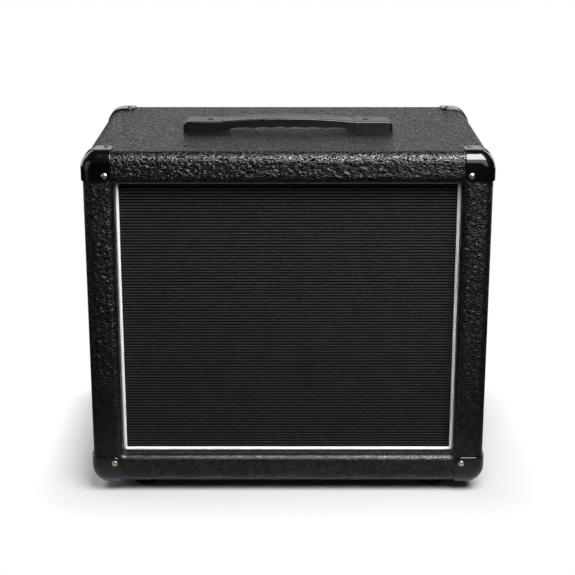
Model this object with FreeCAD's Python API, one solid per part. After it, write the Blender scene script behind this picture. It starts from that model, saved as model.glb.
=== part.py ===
import FreeCAD
import Part
import itertools
import math
import os

# Closed-back guitar speaker cabinet for one twelve inch speaker: a rebated wooden box under embossed
# vinyl, with a recessed grille, piping, moulded corners, a strap handle, rubber feet and a rear jack.
# Millimetres. X points right, Y to the back and Z up. The origin is on the floor under the box's middle.

Vector = FreeCAD.Vector
X_AXIS = Vector(1, 0, 0)
Y_AXIS = Vector(0, 1, 0)
Z_AXIS = Vector(0, 0, 1)

# Box over its vinyl
cabinet_width = 500.0
cabinet_height = 432.0
cabinet_depth = 330.0
long_edge_radius = 20.5
rim_radius = 13.0
vinyl_thickness = 1.0
panel_thickness = 15.0
rebate_depth = 6.0

# Lips round the front recess and the back panel
lip_width = 37.8
lip_edge_radius = 8.5
recess_depth = 20.0

# Piping: a round bead on a stapling flange
bead_radius = 2.2
bead_wall_gap = 0.1
bead_bend_radius = 3.0
piping_flange_width = 11.0
piping_flange_thickness = 0.8

# Grille cloth and baffle
cloth_thickness = 0.8
cloth_hem = 9.0
baffle_thickness = 18.0
baffle_gap = 2.0
baffle_screw_inset = 6.0
baffle_screw_length = 28.0

# Back panel and the ledge of the rear rails that it is screwed to
back_panel_thickness = 12.0
back_panel_inset = 6.0
back_panel_gap = 1.0
back_corner_radius = 6.0
back_ledge_width = 15.0
back_ledge_depth = 12.0
back_screw_length = 22.0

# Wood screws of the baffle, back panel and jack dish, and how many stand along a board's edges
screw_head_radius = 3.8
screw_head_height = 2.2
screw_radius = 1.75
screw_hole_gap = 0.15
screws_across_count = 4
screws_up_count = 3
drive_turn_angle = 137.5

# Moulded corners and their screws
corner_leg = 36.0
corner_thickness = 2.0
corner_fit_gap = 0.15
corner_free_radius = 9.0
corner_rim_radius = 1.2
corner_screw_inset = 28.0
corner_screw_head_radius = 3.6
corner_screw_head_height = 1.9
corner_screw_length = 14.0

# Feet
foot_height = 14.0
foot_top_radius = 19.0
foot_bottom_radius = 16.0
foot_edge_radius = 2.0
foot_side_inset = 63.0
foot_end_inset = 42.0
foot_well_radius = 7.5
foot_floor = 5.0
foot_screw_head_radius = 5.0
foot_screw_head_height = 2.6
foot_screw_radius = 2.2
foot_screw_length = 18.0

# Strap handle, heights above the top of the box
handle_length = 271.5
handle_setback = 154.0
cap_length = 50.0
cap_width = 38.0
cap_height = 13.0
cap_wall = 2.5
cap_end_run = 12.0
cap_end_height = 9.2
cap_corner_radius = 6.0
cap_edge_radius = 1.8
cap_boss_radius = 6.6
strap_gap = 0.4
strap_width = 33.0
strap_top_end = 12.8
strap_top_middle = 16.8
strap_under_end = 0.6
strap_under_shoulder = 4.3
strap_under_middle = 6.0
strap_flare_run = 14.0
strap_edge_radius = 1.8
groove_spacing = 11.0
groove_width = 1.4
groove_depth = 0.7
groove_end = 14.0
core_width = 22.0
core_thickness = 1.2
core_gap = 0.3
core_height_end = 6.2
core_height_middle = 10.8
core_tab_length = 30.0
core_play = 3.0
handle_bolt_inset = 15.0
handle_bolt_head_radius = 4.2
handle_bolt_head_height = 2.4
handle_bolt_radius = 2.5
handle_bolt_well = 2.7
handle_bolt_well_gap = 0.3
handle_bolt_length = 32.5
handle_nut_radius = 4.6
handle_nut_height = 4.0

# Speaker, a pressed steel frame that mounts from behind the baffle
speaker_radius = 154.5
speaker_flange_width = 13.5
speaker_bolt_inset = 6.0
speaker_bolt_count = 8
cutout_margin = 1.0
gasket_thickness = 3.0
basket_sheet = 1.5
basket_ledge_radius = 70.0
basket_ledge_depth = 66.0
basket_cup_radius = 60.0
basket_depth = 90.0
basket_hole_radius = 27.0
window_margin = 9.0
window_angle = 30.0
surround_sheet = 0.8
surround_margin = 1.0
surround_width = 14.0
surround_lip = 6.0
surround_rolls = 2
cone_sheet = 1.0
cone_depth = 56.0
cone_bow = 6.0
glue_gap = 0.1
dust_cap_radius = 37.0
dust_cap_rise = 14.0
dust_cap_sheet = 0.8
coil_radius = 22.2
former_sheet = 0.4
coil_build = 0.6
coil_length = 12.0
spider_sheet = 0.7
spider_outer_radius = 62.0
spider_inner_radius = 26.0
spider_rolls = 8
plate_radius = 55.0
plate_thickness = 7.0
coil_gap = 0.6
magnet_radius = 67.0
magnet_bore_radius = 31.0
magnet_thickness = 18.0
yoke_radius = 58.0
speaker_bolt_head_radius = 4.6
speaker_bolt_head_height = 2.6
speaker_bolt_radius = 2.5
speaker_bolt_length = 21.0
tee_nut_barrel_radius = 3.4
tee_nut_flange_radius = 8.0
tee_nut_flange_thickness = 1.2
tee_nut_length = 12.0

# Terminals and inner wiring
terminal_board_width = 28.0
terminal_board_thickness = 2.0
terminal_board_gap = 3.0
lug_width = 6.3
lug_thickness = 0.8
lug_overhang = 8.0
lug_spacing = 15.0
lug_inset = 4.0
tinsel_radius = 0.7
tinsel_land_radius = 46.0
tinsel_stand_off = 2.0
lead_radius = 1.2
lead_spread = 9.0
lead_stub = 6.0
lead_sag = 16.0
lead_inset = 4.0

# Jack dish in the back panel and its socket
dish_width = 92.0
dish_height = 72.0
dish_flange_width = 10.0
dish_flange_thickness = 2.5
dish_wall = 2.5
dish_depth = 32.0
dish_draft = 4.0
dish_corner_radius = 9.0
dish_hole_gap = 0.5
dish_screw_length = 11.0
jack_height = 118.0
jack_body_width = 20.0
jack_body_length = 28.0
jack_body_corner = 3.0
jack_bush_radius = 5.0
jack_bush_gap = 0.1
jack_bush_length = 12.0
jack_bore_radius = 3.25
jack_bore_length = 32.0
jack_nut_radius = 7.6
jack_nut_thickness = 3.0

# How far a cutter passes the face that it cuts, and how near counts as on a plane
overrun = 2.0
tiny = 0.001

# Shares that shape a screw's head, cross recess and tip, the strap's flare and a wire's bends and slack
dome_side_share = 0.35
cross_reach_share = 0.6
cross_width_share = 0.26
cross_depth_share = 0.55
tip_share = 0.1
flare_via_shares = (0.55, 0.3)
bend_share = 0.45
tinsel_exit_share = 0.22
lead_run_shares = (0.0, 0.16, 0.36, 0.6, 0.82, 1.0)
lead_drop_shares = (0.0, 0.12, 0.72, 1.0, 0.5, 0.0)

# Screws of each kind: head radius, head height, shank radius and length
baffle_screw = (screw_head_radius, screw_head_height, screw_radius, baffle_screw_length)
back_screw = (screw_head_radius, screw_head_height, screw_radius, back_screw_length)
dish_screw = (screw_head_radius, screw_head_height, screw_radius, dish_screw_length)
corner_screw = (corner_screw_head_radius, corner_screw_head_height, screw_radius, corner_screw_length)
foot_screw = (foot_screw_head_radius, foot_screw_head_height, foot_screw_radius, foot_screw_length)
handle_bolt = (handle_bolt_head_radius, handle_bolt_head_height, handle_bolt_radius, handle_bolt_length)
speaker_bolt = (speaker_bolt_head_radius, speaker_bolt_head_height, speaker_bolt_radius, speaker_bolt_length)

# Planes and places that follow from the sizes
front = -cabinet_depth / 2
rear = cabinet_depth / 2
base = foot_height
top = base + cabinet_height
middle = base + cabinet_height / 2
opening_half_width = cabinet_width / 2 - lip_width
opening_low = base + lip_width
opening_high = top - lip_width
opening_corner_radius = bead_bend_radius + bead_radius + bead_wall_gap
recess_floor = front + recess_depth
tunnel_half_width = cabinet_width / 2 - vinyl_thickness - panel_thickness
tunnel_low = base + vinyl_thickness + panel_thickness
tunnel_high = top - vinyl_thickness - panel_thickness
cloth_front = recess_floor + piping_flange_thickness
baffle_front = cloth_front + cloth_thickness
baffle_rear = baffle_front + baffle_thickness
back_face = rear - back_panel_inset
ledge_face = back_face - back_panel_thickness
handle_y = front + handle_setback
cap_mouth = handle_length / 2 - cap_length
strap_half_length = cap_mouth - strap_gap
handle_bolt_x = cap_mouth + handle_bolt_inset
speaker_bolt_circle = speaker_radius - speaker_bolt_inset
basket_mouth_radius = speaker_radius - speaker_flange_width
cutout_radius = basket_mouth_radius + cutout_margin
surround_outer_radius = basket_mouth_radius - surround_margin
surround_inner_radius = surround_outer_radius - surround_width
gasket_rear = baffle_rear + gasket_thickness
flange_front = gasket_rear + surround_sheet
flange_rear = flange_front + basket_sheet
cone_front = flange_front + glue_gap
ledge_front = flange_front + basket_ledge_depth
basket_rear = flange_front + basket_depth
plate_rear = basket_rear + plate_thickness
magnet_rear = plate_rear + magnet_thickness
former_radius = coil_radius + former_sheet
neck_radius = former_radius + glue_gap
terminal_front = ledge_front + basket_sheet
terminal_rear = terminal_front + terminal_board_thickness
tinsel_exit_radius = basket_ledge_radius + (basket_mouth_radius - basket_ledge_radius) * tinsel_exit_share
tinsel_exit = middle - tinsel_exit_radius
terminal_top = middle - basket_cup_radius - terminal_board_gap
terminal_low = tinsel_exit - lug_inset
jack_z = base + jack_height
dish_floor_outer = back_face - dish_depth
dish_floor_inner = dish_floor_outer + dish_wall
jack_mouth = dish_floor_outer + jack_bush_length
jack_body_end = dish_floor_outer - jack_body_length


def block(x_range, y_range, z_range):
    """Box between three pairs of limits."""
    sides = [high - low for low, high in (x_range, y_range, z_range)]
    return Part.makeBox(*sides, Vector(x_range[0], y_range[0], z_range[0]))


def rod(radius, start, end):
    """Cylinder from one point to another."""
    return Part.makeCylinder(radius, (end - start).Length, start, end - start)


def edges_along(shape, axis):
    """Straight edges of a shape that run along an axis."""
    straight = [edge for edge in shape.Edges if isinstance(edge.Curve, Part.Line)]
    return [edge for edge in straight if edge.Curve.Direction.cross(axis).Length < tiny]


def edges_at(shape, y):
    """Edges of a shape that lie in the upright plane at y."""
    return [edge for edge in shape.Edges if all(abs(end.Y - y) < tiny for end in edge.Vertexes)]


def closed_wire(start, *steps):
    """Wire back to its start: a point is reached by a line, a pair of points by an arc through the first."""
    edges = []
    here = start
    for step in steps + (start,):
        if isinstance(step, tuple):
            via, there = step
            edges.append(Part.Arc(here, via, there).toShape())
        else:
            there = step
            edges.append(Part.makeLine(here, there))
        here = there
    return Part.Wire(edges)


def turned(wire, angle=360):
    """Solid that a wire in the XY plane sweeps round the speaker's axis."""
    solid = Part.Face(wire).revolve(Vector(), Y_AXIS, angle)
    return solid.translated(Vector(0, 0, middle))


def ring(inner, outer, y_start, y_end):
    """Flat ring round the speaker's axis."""
    corners = [Vector(inner, y_start), Vector(outer, y_start), Vector(outer, y_end), Vector(inner, y_end)]
    return turned(closed_wire(*corners))


def slab(half_width, z_range, y_range, radius):
    """Upright plate with rounded corners."""
    plate = block((-half_width, half_width), y_range, z_range)
    return plate.makeFillet(radius, edges_along(plate, Y_AXIS))


def crown_point(half_span, rise):
    """Halfway point of a round crown's arc: its reach from the axis and its height over the rim."""
    ball = (half_span ** 2 + rise ** 2) / (2 * rise)
    half_angle = math.asin(half_span / ball) / 2
    return ball * math.sin(half_angle), rise - ball * (1 - math.cos(half_angle))


def pan_screw(head_radius, head_height, shank_radius, length):
    """Screw along Z, with the seat of its domed head at the origin, a cross recess and its shank below."""
    side = head_height * dome_side_share
    reach, height = crown_point(head_radius, head_height - side)
    wire = closed_wire(
        Vector(0, 0, -length),
        Vector(shank_radius, 0, -length * (1 - tip_share)),
        Vector(shank_radius, 0, 0),
        Vector(head_radius, 0, 0),
        Vector(head_radius, 0, side),
        (Vector(reach, 0, side + height), Vector(0, 0, head_height)),
    )
    screw = Part.Face(wire).revolve(Vector(), Z_AXIS, 360)
    long_way = (-head_radius * cross_reach_share, head_radius * cross_reach_share)
    short_way = (-head_radius * cross_width_share / 2, head_radius * cross_width_share / 2)
    depth = (head_height * (1 - cross_depth_share), head_height + overrun)
    return screw.cut([block(long_way, short_way, depth), block(short_way, long_way, depth)])


def fasteners(places, sizes):
    """Group of like screws, each at a seat, with its head facing a direction and its recess turned anew."""
    screw = pan_screw(*sizes)
    group = []
    for i, (seat, facing) in enumerate(places):
        turn = FreeCAD.Rotation(Z_AXIS, facing) * FreeCAD.Rotation(Z_AXIS, drive_turn_angle * i)
        group.append(screw.transformed(FreeCAD.Placement(seat, turn).toMatrix(), True))
    return Part.makeCompound(group)


def drilled(shape, places, sizes):
    """Shape with a hole for each screw of a group."""
    _, _, shank_radius, length = sizes
    radius = shank_radius + screw_hole_gap
    depth = length + screw_hole_gap
    holes = [rod(radius, seat + facing * overrun, seat - facing * depth) for seat, facing in places]
    return shape.cut(holes)


def tube(name, points, radius):
    """Round wire along straight runs that are joined by tangent arcs."""
    edges = []
    bends = []
    here = points[0]
    for before, corner, after in zip(points, points[1:], points[2:]):
        back = before - corner
        ahead = after - corner
        set_back = bend_share * min(back.Length, ahead.Length)
        half_turn = (math.pi - back.getAngle(ahead)) / 2
        bend = set_back / math.tan(half_turn)
        back.normalize()
        ahead.normalize()
        inwards = (back + ahead).normalize()
        crest = corner + inwards * (bend / math.cos(half_turn) - bend)
        edges.append(Part.makeLine(here, corner + back * set_back))
        edges.append(Part.Arc(corner + back * set_back, crest, corner + ahead * set_back).toShape())
        bends.append(bend)
        here = corner + ahead * set_back
    edges.append(Part.makeLine(here, points[-1]))
    path = Part.Wire(edges)
    section = Part.Wire(Part.makeCircle(radius, points[0], points[1] - points[0]))
    solid = path.makePipeShell([section], True, False)
    share = solid.Volume / (math.pi * radius ** 2 * path.Length)
    print(name, "bend radii", [round(bend, 1) for bend in bends], "volume share", round(share, 4))
    return solid


def rounded_box(inset):
    """Outer form of the box, moved inwards by an inset, or outwards where that is negative."""
    half_width = cabinet_width / 2 - inset
    form = block((-half_width, half_width), (front + inset, rear - inset), (base + inset, top - inset))
    form = form.makeFillet(long_edge_radius - inset, edges_along(form, Y_AXIS))
    rims = edges_at(form, front + inset) + edges_at(form, rear - inset)
    return form.makeFillet(rim_radius - inset, rims)


def inside(edge, half_width, z_range):
    """Whether an edge's middle is within an upright rectangle."""
    centre = edge.CenterOfMass
    low, high = z_range
    return abs(centre.x) < half_width + tiny and low - tiny < centre.z < high + tiny


def box_with_pockets(inset):
    """Outer form with the grille recess and the back panel's pocket, moved inwards by an inset."""
    half_width = opening_half_width + inset
    z_range = (opening_low - inset, opening_high + inset)
    recess = slab(half_width, z_range, (front - overrun, recess_floor), opening_corner_radius + inset)
    pocket = slab(half_width, z_range, (ledge_face, rear + overrun), back_corner_radius + inset)
    form = rounded_box(inset).cut([recess, pocket])
    ends = edges_at(form, front + inset) + edges_at(form, rear - inset)
    lips = [edge for edge in ends if inside(edge, half_width, z_range)]
    return form.makeFillet(lip_edge_radius - inset, lips)


def vinyl_covering():
    """Vinyl skin round the outside, over both lips and down the walls of both pockets."""
    return box_with_pockets(0).cut(box_with_pockets(vinyl_thickness))


def tunnel(y_range):
    """Space between the four panels."""
    return block((-tunnel_half_width, tunnel_half_width), y_range, (tunnel_low, tunnel_high))


def wooden_panels():
    """Top and bottom panels with rebates at their ends, and the side panels that stand in them."""
    walls = box_with_pockets(vinyl_thickness).cut(tunnel((front, rear)))
    side_heights = (tunnel_low - rebate_depth, tunnel_high + rebate_depth)
    left = walls.common(block((-cabinet_width, -tunnel_half_width), (front, rear), side_heights))
    right = walls.common(block((tunnel_half_width, cabinet_width), (front, rear), side_heights))
    across = walls.cut([left, right])
    upper, lower = sorted(across.Solids, key=lambda solid: -solid.CenterOfMass.z)
    return {"top_panel": upper, "bottom_panel": lower, "left_panel": left, "right_panel": right}


def rails(end, frame, low, high):
    """Four rails of an upright frame: the upper and lower ones run through, past two heights."""
    whole = (-cabinet_width, cabinet_width)
    return {
        end + "_rail_top": frame.common(block(whole, (front, rear), (high, top))),
        end + "_rail_bottom": frame.common(block(whole, (front, rear), (base, low))),
        end + "_rail_left": frame.common(block((-cabinet_width, 0), (front, rear), (low, high))),
        end + "_rail_right": frame.common(block((0, cabinet_width), (front, rear), (low, high))),
    }


def front_rails():
    """Rails inside the panels' front edges, which widen the lip and carry the baffle."""
    frame = box_with_pockets(vinyl_thickness).common(tunnel((front, recess_floor)))
    return rails("front", frame, opening_low - vinyl_thickness, opening_high + vinyl_thickness)


def rear_rails():
    """Rails inside the panels' rear edges, rebated so that the back panel seats on their ledge."""
    frame = box_with_pockets(vinyl_thickness).common(tunnel((ledge_face - back_ledge_depth, rear)))
    half_width = opening_half_width - back_ledge_width
    low = opening_low + back_ledge_width
    high = opening_high - back_ledge_width
    frame = frame.cut(block((-half_width, half_width), (front, rear), (low, high)))
    return rails("rear", frame, low, high)


def edge_places(half_width, z_range, y, facing, across, up):
    """Screw places along the four sides of an upright rectangle, with the corners taken once."""
    low, high = z_range
    columns = [-half_width + 2 * half_width * i / (across - 1) for i in range(across)]
    rows = [low + (high - low) * i / (up - 1) for i in range(1, up - 1)]
    places = [(Vector(x, y, z), facing) for x in columns for z in (low, high)]
    places += [(Vector(x, y, z), facing) for x in (-half_width, half_width) for z in rows]
    return places


def baffle_places():
    """Wood screws that hold the baffle against the rails."""
    inset = baffle_gap + baffle_screw_inset
    z_range = (tunnel_low + inset, tunnel_high - inset)
    half_width = tunnel_half_width - inset
    return edge_places(half_width, z_range, baffle_rear, Y_AXIS, screws_across_count, screws_up_count)


def back_places():
    """Wood screws that hold the back panel on the rear rails' ledge."""
    inset = back_ledge_width / 2
    z_range = (opening_low + inset, opening_high - inset)
    half_width = opening_half_width - inset
    return edge_places(half_width, z_range, back_face, Y_AXIS, screws_across_count, screws_up_count)


def round_places(y, facing):
    """Speaker bolt places on their circle, none of them straight above or below the centre."""
    step = 2 * math.pi / speaker_bolt_count
    angles = [step * (i + 1 / 2) for i in range(speaker_bolt_count)]
    reach = speaker_bolt_circle
    return [
        (Vector(reach * math.cos(angle), y, middle + reach * math.sin(angle)), facing) for angle in angles
    ]


def corner_places():
    """Three screws on each of the eight corners: one through each leaf."""
    proud = corner_fit_gap + corner_thickness
    half_sizes = Vector(cabinet_width / 2, cabinet_depth / 2, cabinet_height / 2)
    centre = Vector(0, 0, middle)
    places = []
    for signs in itertools.product((-1, 1), repeat=3):
        for leaf, axis in enumerate((X_AXIS, Y_AXIS, Z_AXIS)):
            reach = [half - corner_screw_inset for half in half_sizes]
            reach[leaf] = half_sizes[leaf] + proud
            seat = Vector(*(sign * length for sign, length in zip(signs, reach)))
            places.append((centre + seat, axis * signs[leaf]))
    return places


def foot_centres():
    """The four feet by name, each with the centre of its top face."""
    x = cabinet_width / 2 - foot_side_inset
    y = cabinet_depth / 2 - foot_end_inset
    return {
        "foot_front_left": Vector(-x, -y, base),
        "foot_front_right": Vector(x, -y, base),
        "foot_rear_left": Vector(-x, y, base),
        "foot_rear_right": Vector(x, y, base),
    }


def foot_places():
    """Foot screws, whose heads sit up inside the feet's wells."""
    return [(centre - Z_AXIS * foot_floor, -Z_AXIS) for centre in foot_centres().values()]


def handle_places():
    """Bolts through the two end caps."""
    seat = top + cap_height - handle_bolt_well
    return [(Vector(side * handle_bolt_x, handle_y, seat), Z_AXIS) for side in (-1, 1)]


def dish_places():
    """Screws at the corners of the jack dish's flange."""
    x = dish_width / 2 - dish_flange_width / 2
    z = dish_height / 2 - dish_flange_width / 2
    seat = back_face + dish_flange_thickness
    return [(Vector(i * x, seat, jack_z + j * z), Y_AXIS) for i in (-1, 1) for j in (-1, 1)]


def baffle():
    """Baffle board with the speaker's cut-out and seats for the tee nuts."""
    half_width = tunnel_half_width - baffle_gap
    z_range = (tunnel_low + baffle_gap, tunnel_high - baffle_gap)
    board = block((-half_width, half_width), (baffle_front, baffle_rear), z_range)
    cuts = [ring(0, cutout_radius, baffle_front - overrun, baffle_rear + overrun)]
    for seat, _ in round_places(baffle_front, Y_AXIS):
        flange_end = seat + Y_AXIS * tee_nut_flange_thickness
        barrel_end = seat + Y_AXIS * (baffle_thickness + overrun)
        cuts.append(rod(tee_nut_flange_radius + screw_hole_gap, seat - Y_AXIS * overrun, flange_end))
        cuts.append(rod(tee_nut_barrel_radius + screw_hole_gap, seat, barrel_end))
    return drilled(board.cut(cuts), baffle_places(), baffle_screw)


def grille_cloth():
    """Cloth stretched flat over the baffle, short of the screws."""
    inset = baffle_gap + cloth_hem
    half_width = tunnel_half_width - inset
    z_range = (tunnel_low + inset, tunnel_high - inset)
    return block((-half_width, half_width), (cloth_front, baffle_front), z_range)


def piping():
    """Bead round the recess, in one with the flange that is stapled behind the rails."""
    inset = bead_wall_gap + bead_radius
    half_width = opening_half_width - inset
    z_range = (opening_low + inset, opening_high - inset)
    y = cloth_front - bead_radius
    path = slab(half_width, z_range, (y, cloth_front), bead_bend_radius)
    line = Part.Wire(Part.__sortEdges__(edges_at(path, y)))
    section = Part.Wire(Part.makeCircle(bead_radius, Vector(0, y, z_range[1]), X_AXIS))
    bead = line.makePipeShell([section], True, False)
    hole = slab(half_width, z_range, (recess_floor - overrun, cloth_front + overrun), bead_bend_radius)
    outer = block(
        (-opening_half_width - piping_flange_width, opening_half_width + piping_flange_width),
        (recess_floor, cloth_front),
        (opening_low - piping_flange_width, opening_high + piping_flange_width),
    )
    return bead.fuse(outer.cut(hole)).removeSplitter()


def on_skin(edge, form):
    """Whether an edge's middle lies on the skin of a form."""
    centre = edge.valueAt((edge.FirstParameter + edge.LastParameter) / 2)
    return Part.Shell(form.Faces).distToShape(Part.Vertex(centre))[0] < tiny


def corner_protectors():
    """Moulded corners: three leaves that follow the box's rounded edges, mirrored to all eight."""
    outer = rounded_box(-corner_fit_gap - corner_thickness)
    shell = outer.cut(rounded_box(-corner_fit_gap))
    inner = Vector(cabinet_width / 2 - corner_leg, front + corner_leg, top - corner_leg)
    zone = block((inner.x, cabinet_width), (front - cabinet_depth, inner.y), (inner.z, top + cabinet_height))
    free = [edge for edge in zone.Edges if any((end.Point - inner).Length < tiny for end in edge.Vertexes)]
    zone = zone.makeFillet(corner_free_radius, free)
    leaves = shell.common(zone)
    rim = [edge for edge in leaves.Edges if on_skin(edge, outer) and on_skin(edge, zone)]
    right_front_upper = drilled(leaves.makeFillet(corner_rim_radius, rim), corner_places(), corner_screw)
    corners = {}
    for end, level, side in itertools.product(("front", "rear"), ("top", "bottom"), ("left", "right")):
        corner = right_front_upper.copy()
        if side == "left":
            corner = corner.mirror(Vector(), X_AXIS)
        if end == "rear":
            corner = corner.mirror(Vector(), Y_AXIS)
        if level == "bottom":
            corner = corner.mirror(Vector(0, 0, middle), Z_AXIS)
        corners["corner_{}_{}_{}".format(end, level, side)] = corner
    return corners


def rubber_foot(centre):
    """Tapered foot with a well for its screw's head."""
    edge = foot_edge_radius
    corner = edge * (1 - math.sqrt(1 / 2))
    bore = foot_screw_radius + screw_hole_gap
    floor_low = foot_height - foot_floor
    wire = closed_wire(
        Vector(bore, 0, foot_height),
        Vector(foot_top_radius, 0, foot_height),
        Vector(foot_bottom_radius, 0, edge),
        (Vector(foot_bottom_radius - corner, 0, corner), Vector(foot_bottom_radius - edge, 0, 0)),
        Vector(foot_well_radius, 0, 0),
        Vector(foot_well_radius, 0, floor_low),
        Vector(bore, 0, floor_low),
    )
    foot = Part.Face(wire).revolve(Vector(), Z_AXIS, 360)
    return foot.translated(Vector(centre.x, centre.y, 0))


def across_handle(wire, width):
    """Solid of an upright outline at y zero, as wide as given, centred on the handle's line."""
    return Part.Face(wire).extrude(Y_AXIS * width).translated(Vector(0, handle_y - width / 2, 0))


def handle_band(clearance):
    """Arched spring strip with straight tabs in the caps, thicker all round by a clearance."""
    low_end = top + core_height_end - clearance
    low_middle = top + core_height_middle - clearance
    rise = Vector(0, 0, core_thickness + 2 * clearance)
    right = Vector(cap_mouth, 0, low_end)
    left = Vector(-cap_mouth, 0, low_end)
    crest = Vector(0, 0, low_middle)
    tab = Vector(core_tab_length, 0, 0)
    wire = closed_wire(
        left, (crest, right), right + tab, right + tab + rise, right + rise, (crest + rise, left + rise),
        left + rise - tab, left - tab,
    )
    return across_handle(wire, core_width + 2 * clearance)


def handle_core():
    """Spring strip with a slot at each end, so that it can slide round the cap's boss."""
    strip = handle_band(0)
    radius = cap_boss_radius + core_gap
    heights = (top, top + cap_height)
    cuts = []
    for side in (-1, 1):
        for shift in (-core_play, core_play):
            x = side * handle_bolt_x + shift
            cuts.append(rod(radius, Vector(x, handle_y, heights[0]), Vector(x, handle_y, heights[1])))
        x = side * handle_bolt_x
        cuts.append(block((x - core_play, x + core_play), (handle_y - radius, handle_y + radius), heights))
    return strip.cut(cuts)


def strap_grooves():
    """Cutters for the two lengthwise grooves in the strap's arched top."""
    end = Vector(strap_half_length, 0, top + strap_top_end)
    start = Vector(-strap_half_length, 0, top + strap_top_end)
    crest = Vector(0, 0, top + strap_top_middle)
    down = Vector(0, 0, -groove_depth)
    up = Vector(0, 0, overrun)
    wire = closed_wire(start + down, (crest + down, end + down), end + up, (crest + up, start + up))
    reach = strap_half_length - groove_end
    span = block((-reach, reach), (front, rear), (top, top + cabinet_height))
    groove = across_handle(wire, groove_width).common(span)
    return [groove.translated(Y_AXIS * side * groove_spacing / 2) for side in (-1, 1)]


def handle_strap():
    """Moulded strap: arched and grooved on top, hollowed below for the fingers and deeper at its ends."""
    half = strap_half_length
    shoulder = half - strap_flare_run
    via_out, via_up = flare_via_shares
    via_x = shoulder + strap_flare_run * via_out
    via_z = top + strap_under_shoulder - (strap_under_shoulder - strap_under_end) * (1 - via_up)
    wire = closed_wire(
        Vector(-half, 0, top + strap_top_end),
        (Vector(0, 0, top + strap_top_middle), Vector(half, 0, top + strap_top_end)),
        Vector(half, 0, top + strap_under_end),
        (Vector(via_x, 0, via_z), Vector(shoulder, 0, top + strap_under_shoulder)),
        (Vector(0, 0, top + strap_under_middle), Vector(-shoulder, 0, top + strap_under_shoulder)),
        (Vector(-via_x, 0, via_z), Vector(-half, 0, top + strap_under_end)),
    )
    strap = across_handle(wire, strap_width)
    long_edges = [edge for edge in strap.Edges if edge.CenterOfMass.z > top + strap_top_end + tiny]
    strap = strap.makeFillet(strap_edge_radius, long_edges)
    return strap.cut([handle_band(core_gap)] + strap_grooves())


def handle_cap(side):
    """Hollow end cap with a sloping nose, a boss round its bolt and a mouth for the strip."""
    end = handle_length / 2
    reach, height = crown_point(cap_end_run, cap_height - cap_end_height)
    nose = Vector(end - cap_end_run + reach, 0, top + cap_end_height + height)
    wire = closed_wire(
        Vector(cap_mouth, 0, top),
        Vector(cap_mouth, 0, top + cap_height),
        Vector(end - cap_end_run, 0, top + cap_height),
        (nose, Vector(end, 0, top + cap_end_height)),
        Vector(end, 0, top),
    )
    cap = across_handle(wire, cap_width)
    ends = [edge for edge in edges_along(cap, Z_AXIS) if edge.CenterOfMass.x > end - tiny]
    cap = cap.makeFillet(cap_corner_radius, ends)
    crown = [edge for edge in cap.Edges if edge.CenterOfMass.z > top + cap_end_height - tiny]
    cap = cap.makeFillet(cap_edge_radius, [edge for edge in crown if edge.CenterOfMass.x > cap_mouth + tiny])
    half_width = cap_width / 2 - cap_wall
    roof = top + cap_height - cap_wall
    y_range = (handle_y - half_width, handle_y + half_width)
    hollow = block((cap_mouth + cap_wall, end - cap_end_run), y_range, (top - overrun, roof))
    seat = Vector(handle_bolt_x, handle_y, top + cap_height - handle_bolt_well)
    boss = rod(cap_boss_radius, Vector(handle_bolt_x, handle_y, top), seat + Z_AXIS * cap_height)
    well = rod(handle_bolt_head_radius + handle_bolt_well_gap, seat, seat + Z_AXIS * cap_height)
    mouth = handle_band(core_gap).cut(boss)
    cap = cap.cut([hollow.cut(boss), well, mouth])
    cap = drilled(cap, handle_places(), handle_bolt)
    return cap if side > 0 else cap.mirror(Vector(), X_AXIS)


def handle_nuts():
    """Hexagon nuts under the top panel."""
    nuts = []
    for seat, _ in handle_places():
        corners = []
        for i in range(6):
            angle = math.pi * i / 3
            reach = Vector(math.cos(angle), math.sin(angle), 0) * handle_nut_radius
            corners.append(Vector(seat.x, seat.y, tunnel_high - handle_nut_height) + reach)
        hexagon = Part.Face(Part.makePolygon(corners + corners[:1])).extrude(Z_AXIS * handle_nut_height)
        nuts.append(drilled(hexagon, handle_places(), handle_bolt))
    return Part.makeCompound(nuts)


def bolted(shape):
    """Speaker piece with the holes of the speaker bolts."""
    return drilled(shape, round_places(flange_rear, Y_AXIS), speaker_bolt)


def speaker_basket():
    """Pressed frame: flange, conical wall with windows between its spokes, spider ledge and rear cup."""
    sheet = basket_sheet
    wire = closed_wire(
        Vector(speaker_radius, flange_front),
        Vector(speaker_radius, flange_rear),
        Vector(basket_mouth_radius + sheet, flange_rear),
        Vector(basket_ledge_radius + sheet, ledge_front + sheet),
        Vector(basket_cup_radius, ledge_front + sheet),
        Vector(basket_cup_radius, basket_rear),
        Vector(basket_hole_radius, basket_rear),
        Vector(basket_hole_radius, basket_rear - sheet),
        Vector(basket_cup_radius - sheet, basket_rear - sheet),
        Vector(basket_cup_radius - sheet, ledge_front),
        Vector(basket_ledge_radius, ledge_front),
        Vector(basket_mouth_radius, flange_front),
    )
    frame = turned(wire)
    window_wire = closed_wire(
        Vector(basket_ledge_radius, flange_front + window_margin),
        Vector(speaker_radius, flange_front + window_margin),
        Vector(speaker_radius, ledge_front - window_margin),
        Vector(basket_ledge_radius, ledge_front - window_margin),
    )
    window = turned(window_wire, window_angle)
    step = 360 / speaker_bolt_count
    axle = Vector(0, 0, middle)
    windows = [window.rotated(axle, Y_AXIS, step * i - window_angle / 2) for i in range(speaker_bolt_count)]
    return bolted(frame.cut(windows))


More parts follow.
